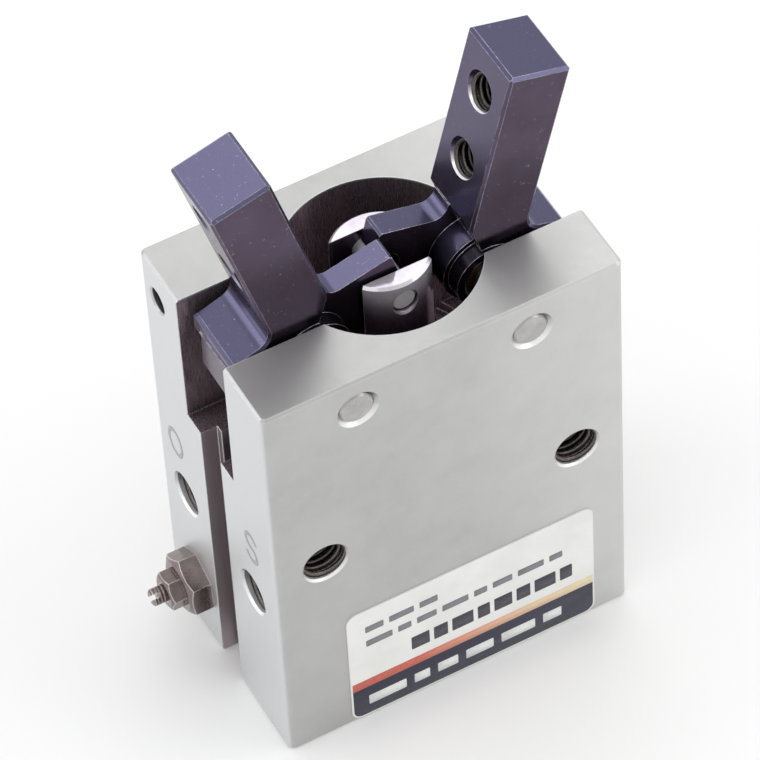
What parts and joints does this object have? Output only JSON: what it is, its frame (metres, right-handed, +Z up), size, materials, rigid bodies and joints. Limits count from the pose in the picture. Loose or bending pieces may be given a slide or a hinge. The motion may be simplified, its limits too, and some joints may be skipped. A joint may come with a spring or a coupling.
{
  "type": "angular air gripper",
  "caption": "Pneumatic angular gripper: aluminium block with dark steel fingers swung by an air piston, a speed adjuster, threaded air ports and mounting threads.",
  "frame": {"origin": "centre of the locating recess in the flat bottom face", "axes": "+Z up towards the fingers, +X to the right along the front face, -Y out of the front face (the one with the sticker)"},
  "size_m": [0.0479, 0.0272, 0.0788],
  "materials": {
    "body_anodised": "satin clear anodised, machined",
    "finger_steel": "dark violet black-oxide finish, worn on the edges",
    "rod_steel": "ground and polished",
    "pin_steel": "ground",
    "screw_steel": "black oxide",
    "spring_steel": "phosphated",
    "piston_alloy": "turned",
    "cap_alloy": "clear anodised",
    "bronze": "sintered bronze",
    "nickel_brass": "nickel plated brass",
    "needle_metal": "nickel plated brass, turned",
    "seal_rubber": "black nitrile",
    "bumper_rubber": "black urethane",
    "magnet": "bonded ring magnet",
    "plug_steel": "plain",
    "sticker": "printed film, satin"
  },
  "bodies": {
    "housing": {"body": "body_anodised", "end_cap": "cap_alloy", "cap_o_ring": "seal_rubber", "retaining_ring": "spring_steel", "lever_shaft_left": "pin_steel", "lever_shaft_right": "pin_steel", "shaft_set_screws": "screw_steel", "rod_bush": "bronze", "rod_seal": "seal_rubber", "head_bumper": "bumper_rubber", "cap_bumper": "bumper_rubber", "passage_plug": "plug_steel", "label": "sticker", "needle_valve_body": "nickel_brass", "needle_body_o_ring": "seal_rubber", "needle_lock_nut": "nickel_brass"},
    "needle_seal": {"needle_o_ring": "seal_rubber"},
    "needle": {"needle_screw": "needle_metal"},
    "piston": {"piston": "piston_alloy", "piston_seals": "seal_rubber", "magnet_ring": "magnet", "piston_rod": "rod_steel", "spigot_o_ring": "seal_rubber", "piston_screw": "screw_steel", "center_pin": "pin_steel"},
    "left_finger": {"finger_left": "finger_steel", "finger_bush_left": "bronze"},
    "right_finger": {"finger_right": "finger_steel", "finger_bush_right": "bronze"}
  },
  "joints": [
    {"name": "left_finger_swing", "type": "hinge", "parent": "housing", "child": "left_finger", "pos_m": [-0.01015, 0, 0.0515], "axis": [0, 1, 0], "range_deg": [0, 20]},
    {"name": "right_finger_swing", "type": "hinge", "parent": "housing", "child": "right_finger", "pos_m": [0.01015, 0, 0.0515], "axis": [0, -1, 0], "range_deg": [0, 20]},
    {"name": "piston_stroke", "type": "slide", "parent": "housing", "child": "piston", "axis": [0, 0, -1], "range_m": [0, 0.0036]},
    {"name": "needle_advance", "type": "slide", "parent": "housing", "child": "needle_seal", "axis": [1, 0, 0], "range_m": [-0.0006, 0.0004]},
    {"name": "needle_turn", "type": "hinge", "parent": "needle_seal", "child": "needle", "pos_m": [-0.024, 0.0067, 0.0083], "axis": [1, 0, 0], "range_deg": [-540, 360]}
  ],
  "couplings": [
    {"joint": "right_finger_swing", "follows": "left_finger_swing", "ratio": 1},
    {"joint": "piston_stroke", "follows": "left_finger_swing", "m_per_rad": 0.010306},
    {"joint": "needle_turn", "follows": "needle_advance", "rad_per_m": 15708}
  ]
}
